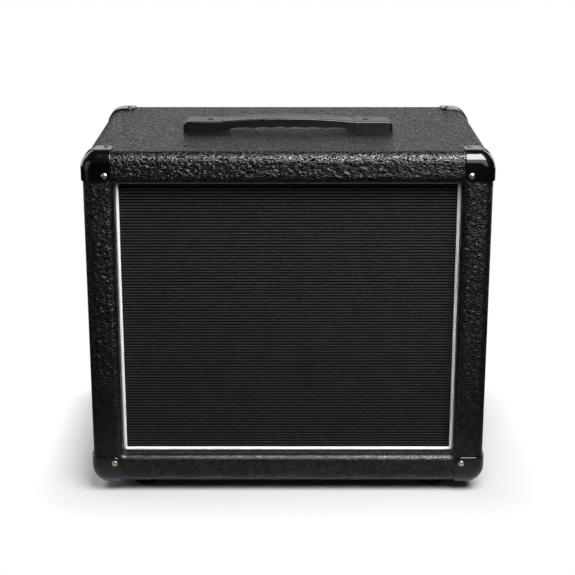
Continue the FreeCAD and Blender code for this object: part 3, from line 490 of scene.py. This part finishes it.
def birch_plywood(finishes):
    """Birch plywood, sanded: pale, with long fine streaks and slow changes of tone."""
    streak_width = 3 * MM
    streak_share = 0.08  # of a streak's width to its length
    relief = 0.1 * MM
    material, tree, shader, place = surface("birch plywood", {"Roughness": 0.62})
    along = add(tree, "ShaderNodeMapping", {"Vector": place, "Scale": (streak_share, 1.0, 1.0)})
    streak = add(
        tree,
        "ShaderNodeTexNoise",
        {"Vector": along.outputs["Vector"], "Scale": 1 / streak_width, "Detail": 4.0},
    )
    tone = add(
        tree,
        "ShaderNodeMix",
        {"Factor": streak.outputs["Fac"], 6: darker(finishes.wood, 0.6), 7: finishes.wood},
        data_type="RGBA",
    )
    bump = add(tree, "ShaderNodeBump", {"Height": streak.outputs["Fac"], "Distance": relief})
    tree.links.new(tone.outputs[2], shader.inputs["Base Color"])
    tree.links.new(bump.outputs["Normal"], shader.inputs["Normal"])
    return material


def moulded_rubber(finishes, patterns):
    """Moulded rubber: dark, with a soft satin skin."""
    return grained(
        "moulded rubber",
        {"IOR": 1.52, "Specular IOR Level": 0.35},
        finishes.rubber,
        darker(finishes.rubber, 0.7),
        size=patterns.moulding_grit,
        depth=0.03 * MM,
        roughness=(0.3, 0.38),
    )


def moulded_cap(finishes, patterns):
    """Moulded ABS with a fine spark texture: satin black."""
    return grained(
        "textured ABS",
        {"IOR": 1.53, "Specular IOR Level": 0.35},
        finishes.cap,
        darker(finishes.cap, 0.75),
        size=patterns.moulding_grit,
        depth=0.03 * MM,
        roughness=(0.3, 0.4),
    )


def polished_corner(finishes):
    """Moulded ABS from a polished mould: deep black, with clear reflections and a faint waviness."""
    return grained(
        "polished ABS",
        {"IOR": 1.53, "Specular IOR Level": 0.6},
        finishes.corner,
        darker(finishes.corner, 0.8),
        size=6 * MM,
        depth=0.02 * MM,
        roughness=(0.1, 0.2),
    )


def piping_bead(finishes):
    """Extruded PVC: near white, with an even soft shine."""
    return grained(
        "extruded PVC piping",
        {"IOR": 1.53},
        finishes.piping,
        darker(finishes.piping, 0.9),
        size=4 * MM,
        depth=0.02 * MM,
        roughness=(0.3, 0.42),
    )


def brass_plating(finishes):
    """Brass on steel, plated in a barrel: small warm glints, darker where it is rubbed."""
    return grained(
        "brass plated steel",
        {"Metallic": 1.0},
        finishes.brass,
        darker(finishes.brass, 0.6),
        size=1.5 * MM,
        depth=0.01 * MM,
        roughness=(0.2, 0.38),
    )


def pressed_paper(finishes):
    """Paper pulp, felted on a screen and pressed: dark, dull and fibrous."""
    return grained(
        "pressed paper pulp",
        {},
        finishes.paper,
        darker(finishes.paper, 0.6),
        size=2 * MM,
        depth=0.15 * MM,
        roughness=(0.75, 0.9),
    )


# Finishes of the screws, the speaker and the jack: colours of crest and hollow, metallic share,
# size and height of the grit in millimetres, and the span of the roughness
HARDWARE = {
    # Zinc plate gives pale grey metal with a soft spangle
    "zinc plated steel": ("B9B9B5", "8F8F8D", 1.0, 2, 0.01, (0.28, 0.45)),
    # A phosphate bath gives a near black with a dull metal shine
    "black phosphated steel": ("2A2A2B", "181819", 0.6, 1, 0.01, (0.35, 0.5)),
    # Baked powder gives a dark, slightly pebbled satin
    "powder coated steel": ("2A2A2C", "1C1C1E", 0, 1, 0.05, (0.45, 0.6)),
    # Resin gives woven cotton an amber tone and stiffens it to a dull skin
    "resin dipped cotton": ("B08A4E", "7E5F30", 0, 0.8, 0.1, (0.6, 0.8)),
    # Sintering gives a dense dark grey, dull as stone
    "sintered ferrite": ("3A3A3C", "2A2A2C", 0, 1.2, 0.05, (0.5, 0.7)),
    # Pressed resin and paper give a plain brown with a low shine
    "phenolic board": ("8A5A32", "6A4222", 0, 1.5, 0.05, (0.4, 0.55)),
    # Clear enamel gives copper a deeper orange under a soft shine
    "enamelled copper": ("C77B4A", "9A5632", 1.0, 1, 0.02, (0.3, 0.45)),
    # Extrusion gives an even dark red with a soft shine
    "PVC wire sleeve": ("7A1414", "5A0E0E", 0, 3, 0.02, (0.4, 0.5)),
    # Bright nickel gives a warm, nearly mirror-like metal
    "nickel plated brass": ("CFCBC0", "A8A49A", 1.0, 3, 0.005, (0.12, 0.22)),
}


def hardware(name):
    """Grained material from its row in HARDWARE."""
    crest, hollow, metallic, size, depth, roughness = HARDWARE[name]
    return grained(
        name, {"Metallic": metallic}, linear(crest), linear(hollow), size * MM, depth * MM, roughness
    )


class CABINET_OT_vinyl(bpy.types.Operator):
    """Cover the box and its back panel in embossed vinyl, and blacken the screws and bolts"""

    bl_idname = "cabinet.vinyl"
    bl_label = "Vinyl covering"

    def execute(self, context):
        scene = context.scene
        dress(embossed_vinyl(scene.cabinet_finishes, scene.cabinet_patterns), "vinyl_covering", "back_panel")
        black = hardware("black phosphated steel")
        dress(black, "back_panel_screws", "baffle_screws", "handle_bolts", "speaker_bolts", "jack_dish_screws")
        return {"FINISHED"}


class CABINET_OT_woodwork(bpy.types.Operator):
    """Give the panels, rails and baffle their plywood"""

    bl_idname = "cabinet.woodwork"
    bl_label = "Woodwork"

    def execute(self, context):
        dress(birch_plywood(context.scene.cabinet_finishes), *BOARDS, *RAILS, "baffle")
        return {"FINISHED"}


class CABINET_OT_grille(bpy.types.Operator):
    """Stretch the grille cloth over the baffle"""

    bl_idname = "cabinet.grille"
    bl_label = "Grille cloth"

    def execute(self, context):
        scene = context.scene
        low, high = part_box("grille_cloth")
        size = high - low
        shape = bmesh.new()
        bmesh.ops.create_grid(shape, x_segments=CLOTH_STEPS[0], y_segments=CLOTH_STEPS[1], size=0.5)
        bmesh.ops.scale(shape, vec=(size.x, size.z, 1), verts=shape.verts)
        bmesh.ops.rotate(shape, matrix=Matrix.Rotation(math.radians(90), 3, "X"), verts=shape.verts)
        bmesh.ops.translate(shape, vec=((low.x + high.x) / 2, low.y, (low.z + high.z) / 2), verts=shape.verts)
        cloth = new_piece("grille_cloth_weave", shape)
        cloth.data.materials.append(woven_grille(scene.cabinet_finishes, scene.cabinet_patterns))
        thick = cloth.modifiers.new("Thickness", "SOLIDIFY")
        thick.thickness = size.y
        thick.offset = -1
        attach(cloth, "cabinet")
        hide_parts("grille_cloth")
        return {"FINISHED"}


class CABINET_OT_piping(bpy.types.Operator):
    """Give the bead round the grille its white plastic"""

    bl_idname = "cabinet.piping"
    bl_label = "Piping"

    def execute(self, context):
        dress(piping_bead(context.scene.cabinet_finishes), "piping")
        return {"FINISHED"}


class CABINET_OT_corners(bpy.types.Operator):
    """Give the moulded corners their polish and their screws their plating"""

    bl_idname = "cabinet.corners"
    bl_label = "Corner protectors"

    def execute(self, context):
        finishes = context.scene.cabinet_finishes
        dress(polished_corner(finishes), *CORNERS)
        dress(brass_plating(finishes), "corner_screws")
        return {"FINISHED"}


class CABINET_OT_handle(bpy.types.Operator):
    """Build the strap as two halves that bow between the end caps, and plate the steel parts with zinc"""

    bl_idname = "cabinet.handle"
    bl_label = "Strap handle"

    def execute(self, context):
        finishes, patterns = context.scene.cabinet_finishes, context.scene.cabinet_patterns
        cap = polish_flanks(moulded_cap(finishes, patterns), "handle_cap_left", LONG_EDGE)
        dress(cap, "handle_cap_left", "handle_cap_right")
        rubber = polish_flanks(moulded_rubber(finishes, patterns), "handle_strap", LONG_EDGE)
        steel = hardware("zinc plated steel")
        dress(steel, "handle_nuts", "foot_screws", "top_plate", "yoke", "terminal_lugs", "speaker_tee_nuts")
        layers = (("handle_strap", "moulded_rubber", rubber), ("handle_core", "zinc_steel", steel))
        for solid, slot, material in layers:
            halves = []
            for side, word in ((-1, "left"), (1, "right")):
                shape = bowing_half(solid, side)
                if solid == "handle_strap":
                    press_fingers(shape, patterns)
                half = new_piece(f"{solid}_{word}", shape)
                half.data.materials.append(material)
                half.modifiers.new("Flat faces", "WEIGHTED_NORMAL").keep_sharp = True
                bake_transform(half)
                halves.append(half)
            for half in halves:
                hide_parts(solid)
        return {"FINISHED"}


class CABINET_OT_feet(bpy.types.Operator):
    """Give the feet their rubber"""

    bl_idname = "cabinet.feet"
    bl_label = "Feet"

    def execute(self, context):
        scene = context.scene
        dress(moulded_rubber(scene.cabinet_finishes, scene.cabinet_patterns), *FEET)
        return {"FINISHED"}


class CABINET_OT_speaker(bpy.types.Operator):
    """Give the speaker behind the cloth its paper, metal and magnet"""

    bl_idname = "cabinet.speaker"
    bl_label = "Speaker"

    def execute(self, context):
        paper = pressed_paper(context.scene.cabinet_finishes)
        dress(paper, "cone", "dust_cap", "surround", "speaker_gasket")
        dress(hardware("powder coated steel"), "speaker_basket")
        dress(hardware("resin dipped cotton"), "spider")
        dress(hardware("sintered ferrite"), "magnet")
        dress(hardware("phenolic board"), "terminal_board", "voice_coil_former")
        dress(hardware("PVC wire sleeve"), "speaker_leads")
        copper = hardware("enamelled copper")
        dress(copper, "voice_coil")
        leads = new_piece("tinsel_lead_strands", merged_copy("tinsel_leads"))
        leads.data.materials.append(copper)
        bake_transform(leads)
        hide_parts("tinsel_leads")
        return {"FINISHED"}


class CABINET_OT_jack(bpy.types.Operator):
    """Give the jack dish, socket and nut their finishes"""

    bl_idname = "cabinet.jack"
    bl_label = "Input jack"

    def execute(self, context):
        scene = context.scene
        dress(moulded_cap(scene.cabinet_finishes, scene.cabinet_patterns), "jack_dish", "jack_socket")
        dress(hardware("nickel plated brass"), "jack_nut")
        return {"FINISHED"}


def new_piece(name, shape):
    """Object at the origin that holds a bmesh, smooth except at its sharp edges."""
    mesh = bpy.data.meshes.new(name)
    shape.to_mesh(mesh)
    shape.free()
    mesh.shade_smooth()
    mesh.set_sharp_from_angle(angle=SHARP_ANGLE)
    piece = bpy.data.objects.new(name, mesh)
    bpy.context.scene.collection.objects.link(piece)
    return piece


def merged_copy(solid):
    """Copy of a solid's mesh with its loose triangles joined."""
    shape = bmesh.new()
    shape.from_mesh(solids[solid].data)
    bmesh.ops.remove_doubles(shape, verts=shape.verts, dist=SEAM)
    return shape


def bowing_half(solid, side):
    """One half of a long solid along X, cut into short lengths so that it can bow."""
    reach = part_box(solid)[1].x
    shape = merged_copy(solid)
    bmesh.ops.dissolve_limit(shape, angle_limit=FLAT_ANGLE, verts=shape.verts, edges=shape.edges)
    for i in range(BOW_STEPS):
        bmesh.ops.bisect_plane(
            shape,
            geom=shape.verts[:] + shape.edges[:] + shape.faces[:],
            dist=SEAM,
            plane_co=(side * reach * i / BOW_STEPS, 0, 0),
            plane_no=(-side, 0, 0),
            clear_outer=i == 0,
        )
    return shape


def press_fingers(shape, patterns):
    """Four finger hollows across the strap's underside, with a ridge on each side of every finger."""
    pitch = patterns.finger_pitch
    last_ridge, fade = 2 * pitch, 0.5 * pitch  # from the middle of the strap, and the slope past it
    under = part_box("handle_strap")[0].z + UNDERSIDE
    for vert in shape.verts:
        along = abs(vert.co.x)
        if vert.co.z > under or along > last_ridge + fade:
            continue
        if along < last_ridge:
            share = 1 - abs(math.sin(math.pi * along / pitch))
        else:
            share = (1 - (along - last_ridge) / fade) ** 2
        bmesh.ops.translate(shape, verts=[vert], vec=(0, 0, -share * patterns.finger_depth))


class CABINET_OT_stage(bpy.types.Operator):
    """Set the floor, the lamps and the camera"""

    bl_idname = "cabinet.stage"
    bl_label = "Stage"

    def execute(self, context):
        scene = context.scene
        studio = scene.cabinet_studio
        shape = bmesh.new()
        bmesh.ops.create_grid(shape, x_segments=1, y_segments=1, size=FLOOR_HALF)
        floor = new_piece("floor", shape)
        floor.data.materials.append(pale_floor())
        room(scene, studio.room_level)
        powers = {
            "key": studio.key_power,
            "back": studio.back_power,
            "front card": studio.card_power,
            "high card": studio.high_power,
            "left card": studio.left_power,
            "right card": studio.right_power,
        }
        for name, power in powers.items():
            softbox(name, *LAMPS[name], power).visible_diffuse = not name.endswith("card")
        target = Vector((0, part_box("vinyl_covering")[0].y, studio.target_height))
        back = Vector((0, -math.cos(studio.elevation), math.sin(studio.elevation)))
        camera = bpy.data.objects.new("camera", bpy.data.cameras.new("camera"))
        scene.collection.objects.link(camera)
        camera.location = target + back * studio.distance
        camera.rotation_euler = (-back).to_track_quat("-Z", "Y").to_euler()
        camera.data.lens = studio.focal_length
        camera.data.shift_x = studio.shift_x
        camera.data.shift_y = studio.shift_y
        camera.data.clip_end = 100
        scene.camera = camera
        scene.view_settings.view_transform = "Standard"
        return {"FINISHED"}


def softbox(name, place, target, size, power):
    """Rectangular lamp that faces a target."""
    lamp = bpy.data.lights.new(name, "AREA")
    lamp.shape = "RECTANGLE"
    lamp.size, lamp.size_y = size
    lamp.energy = power
    holder = bpy.data.objects.new(name, lamp)
    holder.location = place
    holder.rotation_euler = (Vector(target) - Vector(place)).to_track_quat("-Z", "Y").to_euler()
    bpy.context.scene.collection.objects.link(holder)
    return holder


def backdrop_rays(tree, gloss_share):
    """One for rays from the lens or through glass, which show the backdrop, and a share of it for gloss."""
    path = add(tree, "ShaderNodeLightPath").outputs
    gloss = add(tree, "ShaderNodeMath", {0: path["Is Glossy Ray"], 1: gloss_share}, operation="MULTIPLY")
    clear = add(
        tree, "ShaderNodeMath", {0: path["Is Camera Ray"], 1: path["Is Transmission Ray"]}, operation="MAXIMUM"
    )
    either = add(tree, "ShaderNodeMath", {0: clear.outputs[0], 1: gloss.outputs[0]}, operation="MAXIMUM")
    return either.outputs[0]


def behind(tree, vector, near, far, half_width):
    """Rises from none to all between two places along Y, and fades out to the sides."""
    fade_start = 0.7 * half_width
    axes = add(tree, "ShaderNodeSeparateXYZ", {"Vector": vector}).outputs
    depth = add(tree, "ShaderNodeMapRange", {"Value": axes["Y"], "From Min": near, "From Max": far})
    aside = add(tree, "ShaderNodeMath", {0: axes["X"]}, operation="ABSOLUTE")
    width = add(
        tree,
        "ShaderNodeMapRange",
        {
            "Value": aside.outputs[0],
            "From Min": fade_start,
            "From Max": half_width,
            "To Min": 1.0,
            "To Max": 0.0,
        },
    )
    both = add(tree, "ShaderNodeMath", {0: depth.outputs[0], 1: width.outputs[0]}, operation="MULTIPLY")
    return both.outputs[0]


def pale_floor():
    """Matt white studio paint: it keeps the lamps' shadow near the cabinet, adds a painted glow with a painted
    contact shadow under the cabinet and a painted pool of light in the cabinet's gloss, and fades to plain
    white around it.
    """
    inset = Vector((0.023, 0.023, 0))  # of the footprint inside the corner protectors, in metres as below
    painted_pool_peak, painted_pool_reach, painted_pool_fall = 1.06, 0.3, 4.0  # painted pool of light: the floor shows pale in the cabinet's gloss near it and darker farther out
    rear_near, rear_far, rear_half_width = 0.16, 0.5, 0.26  # floor behind, which the top's gloss shows
    painted_shadow_reach, painted_glow_level = 0.014, 0.22  # painted glow that stands in for room light on the floor, with a painted contact shadow where it stops short of the cabinet
    fade_start, fade_end = 0.026, 0.098  # from the footprint, where the paint turns to plain white
    material = bpy.data.materials.new("white studio floor")
    material.use_nodes = True
    tree = material.node_tree
    tree.nodes.clear()
    place = add(tree, "ShaderNodeTexCoord").outputs["Object"]
    aside = add(tree, "ShaderNodeVectorMath", {0: place}, operation="ABSOLUTE")
    past = add(
        tree, "ShaderNodeVectorMath", {0: aside.outputs[0], 1: cad_box[1] - inset}, operation="SUBTRACT"
    )
    clear = add(tree, "ShaderNodeVectorMath", {0: past.outputs[0], 1: (0, 0, 0)}, operation="MAXIMUM")
    reach = add(tree, "ShaderNodeVectorMath", {0: clear.outputs[0]}, operation="LENGTH").outputs["Value"]
    # painted pool of light, seen only in the cabinet's gloss
    near = add(
        tree,
        "ShaderNodeMapRange",
        {"Value": reach, "From Max": painted_pool_reach, "To Min": painted_pool_peak, "To Max": 0.0},
    )
    painted_pool = add(tree, "ShaderNodeMath", {0: near.outputs[0], 1: painted_pool_fall}, operation="POWER")
    rear = behind(tree, place, rear_near, rear_far, rear_half_width)
    share = add(tree, "ShaderNodeMath", {0: painted_pool.outputs[0], 1: rear}, operation="MAXIMUM")
    shown = backdrop_rays(tree, share.outputs[0])
    # painted lighting: the lens sees the pale paint, the cabinet's gloss sees it in the painted pool and
    # behind, and bounce light sees the dark paint as a dimmer copy
    tone = add(
        tree, "ShaderNodeMix", {"Factor": shown, 6: linear("2C2C2C"), 7: linear("B4B4B4")}, data_type="RGBA"
    )
    paint = add(tree, "ShaderNodeBsdfDiffuse", {"Color": tone.outputs[2]})
    # painted glow on the floor, cut off under the cabinet as a painted contact shadow
    painted_glow_mask = add(
        tree,
        "ShaderNodeMapRange",
        {"Value": reach, "From Max": painted_shadow_reach, "To Max": painted_glow_level},
        interpolation_type="SMOOTHSTEP",
    )
    painted_glow_strength = add(tree, "ShaderNodeMath", {0: painted_glow_mask.outputs[0], 1: shown}, operation="MULTIPLY")
    painted_glow = add(tree, "ShaderNodeEmission", {"Strength": painted_glow_strength.outputs[0]})
    close = add(tree, "ShaderNodeAddShader", {0: paint.outputs[0], 1: painted_glow.outputs[0]})
    far = add(tree, "ShaderNodeMapRange", {"Value": reach, "From Min": fade_start, "From Max": fade_end})
    white = add(tree, "ShaderNodeEmission", {"Strength": 1.0})
    fade = add(tree, "ShaderNodeMath", {0: far.outputs[0], 1: shown}, operation="MULTIPLY")
    blend = add(tree, "ShaderNodeMixShader", {0: fade.outputs[0], 1: close.outputs[0], 2: white.outputs[0]})
    add(tree, "ShaderNodeOutputMaterial", {"Surface": blend.outputs[0]})
    return material


def room(scene, level):
    """Plain room light, with white behind the object."""
    rear_near, rear_far, rear_half_width = 0.7, 0.95, 0.27  # of a direction's length, white in the gloss
    world = bpy.data.worlds.new("white room")
    world.use_nodes = True
    tree = world.node_tree
    tree.nodes.clear()
    direction = add(tree, "ShaderNodeTexCoord").outputs["Generated"]
    shown = backdrop_rays(tree, behind(tree, direction, rear_near, rear_far, rear_half_width))
    strength = add(tree, "ShaderNodeMapRange", {"Value": shown, "To Min": level, "To Max": 1.0})
    light = add(tree, "ShaderNodeBackground", {"Color": (1, 1, 1, 1), "Strength": strength.outputs[0]})
    add(tree, "ShaderNodeOutputWorld", {"Surface": light.outputs[0]})
    scene.world = world


class CABINET_PT_builder(bpy.types.Panel):
    """Steps, colours and sizes of the cabinet"""

    bl_idname = "CABINET_PT_builder"
    bl_label = "Speaker cabinet"
    bl_space_type = "VIEW_3D"
    bl_region_type = "UI"
    bl_category = "Cabinet"

    def draw(self, context):
        layout = self.layout
        for operator in OPERATORS:
            layout.operator(operator.bl_idname)
        for name, kind in SETTINGS.items():
            box = layout.box()
            for setting in kind.__annotations__:
                box.prop(getattr(context.scene, name), setting)


OPERATORS = (
    CABINET_OT_stage,
    CABINET_OT_vinyl,
    CABINET_OT_woodwork,
    CABINET_OT_grille,
    CABINET_OT_piping,
    CABINET_OT_corners,
    CABINET_OT_handle,
    CABINET_OT_feet,
    CABINET_OT_speaker,
    CABINET_OT_jack,
)
SETTINGS = {
    "cabinet_finishes": CabinetFinishes,
    "cabinet_patterns": CabinetPatterns,
    "cabinet_studio": StudioSettings,
}


def register():
    for kind in (*SETTINGS.values(), *OPERATORS, CABINET_PT_builder):
        bpy.utils.register_class(kind)
    for name, kind in SETTINGS.items():
        setattr(bpy.types.Scene, name, bpy.props.PointerProperty(type=kind))


def unregister():
    for name in SETTINGS:
        delattr(bpy.types.Scene, name)
    for kind in (CABINET_PT_builder, *reversed(OPERATORS), *SETTINGS.values()):
        bpy.utils.unregister_class(kind)


def main():
    """Runs every step."""
    register()
    bpy.ops.cabinet.stage()
    bpy.ops.cabinet.vinyl()
    bpy.ops.cabinet.woodwork()
    bpy.ops.cabinet.grille()
    bpy.ops.cabinet.piping()
    bpy.ops.cabinet.corners()
    bpy.ops.cabinet.handle()
    bpy.ops.cabinet.feet()
    bpy.ops.cabinet.speaker()
    bpy.ops.cabinet.jack()


if __name__ == "__main__":
    main()
